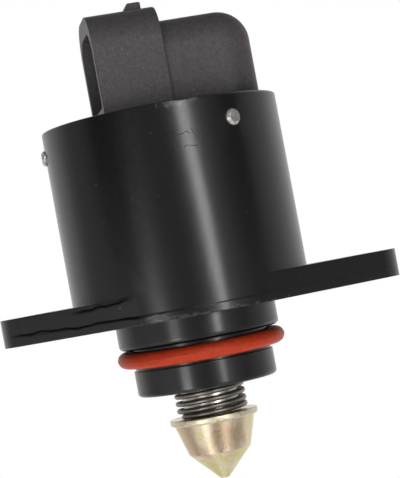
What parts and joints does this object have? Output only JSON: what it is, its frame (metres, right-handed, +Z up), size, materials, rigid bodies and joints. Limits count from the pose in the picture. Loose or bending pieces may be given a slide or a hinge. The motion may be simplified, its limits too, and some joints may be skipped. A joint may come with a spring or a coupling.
{
  "type": "idle air control valve",
  "caption": "Stepper-driven engine idle air valve: black flanged cup, plug connector on top, sealed nose and a sprung conical pintle that slides in and out.",
  "frame": {"origin": "centre of the flange's mounting face, on the valve's axis", "axes": "+Z up the valve's axis from the mounting face to the connector, so the pintle points to -Z; X along the line of the two ears, with the connector's mouth facing -X"},
  "size_m": [0.0619, 0.037, 0.0735],
  "materials": {
    "housing_coat": "die-cast metal, smooth gloss black coat",
    "connector_plastic": "matte dark grey glass-filled plastic",
    "seal_black": "black rubber",
    "pin_steel": "turned bright steel",
    "o_ring_red": "red-orange silicone rubber",
    "pintle_plate": "turned steel, yellow zinc plated",
    "spring_wire": "dark oiled spring wire",
    "screw_steel": "rolled steel thread",
    "bearing_steel": "ground bearing steel",
    "cage_plastic": "moulded cage",
    "hub_plastic": "natural acetal",
    "magnet_ferrite": "bonded ferrite",
    "bush_bronze": "sintered bronze",
    "stator_steel": "pressed zinc-plated sheet",
    "bobbin_plastic": "natural nylon",
    "coil_copper": "enamelled copper wire",
    "terminal_tin": "tinned brass blades"
  },
  "bodies": {
    "housing": {"housing": "housing_coat", "connector_cap": "connector_plastic", "cap_seal": "seal_black", "retaining_pin_1": "pin_steel", "retaining_pin_2": "pin_steel", "retaining_pin_3": "pin_steel", "o_ring": "o_ring_red", "bearing_outer_race": "bearing_steel", "rear_bush": "bush_bronze", "stator_cup_lower": "stator_steel", "stator_cup_upper": "stator_steel", "pole_plate_lower": "stator_steel", "pole_plate_upper": "stator_steel", "bobbin_lower": "bobbin_plastic", "bobbin_upper": "bobbin_plastic", "coil_lower": "coil_copper", "coil_upper": "coil_copper", "terminal_1": "terminal_tin", "terminal_2": "terminal_tin", "terminal_3": "terminal_tin", "terminal_4": "terminal_tin"},
    "rotor": {"rotor_hub": "hub_plastic", "rotor_magnet": "magnet_ferrite", "bearing_inner_race": "bearing_steel"},
    "ball_train": {"bearing_balls": "bearing_steel", "bearing_cage": "cage_plastic"},
    "pintle": {"pintle": "pintle_plate", "lead_screw": "screw_steel", "pintle_spring": "spring_wire"}
  },
  "joints": [
    {"name": "rotor_spin", "type": "hinge", "parent": "housing", "child": "rotor", "pos_m": [0, 0, 0.0137], "axis": [0, 0, 1], "range_deg": [-1008, 1152]},
    {"name": "ball_train_spin", "type": "hinge", "parent": "housing", "child": "ball_train", "pos_m": [0, 0, 0.0032], "axis": [0, 0, 1], "range_deg": [-400, 457]},
    {"name": "pintle_slide", "type": "slide", "parent": "housing", "child": "pintle", "axis": [0, 0, -1], "range_m": [-0.0028, 0.0032], "deforming": ["pintle_spring"]}
  ],
  "couplings": [
    {"joint": "pintle_slide", "follows": "rotor_spin", "m_per_rad": 0.00015915},
    {"joint": "ball_train_spin", "follows": "rotor_spin", "ratio": 0.3958}
  ]
}
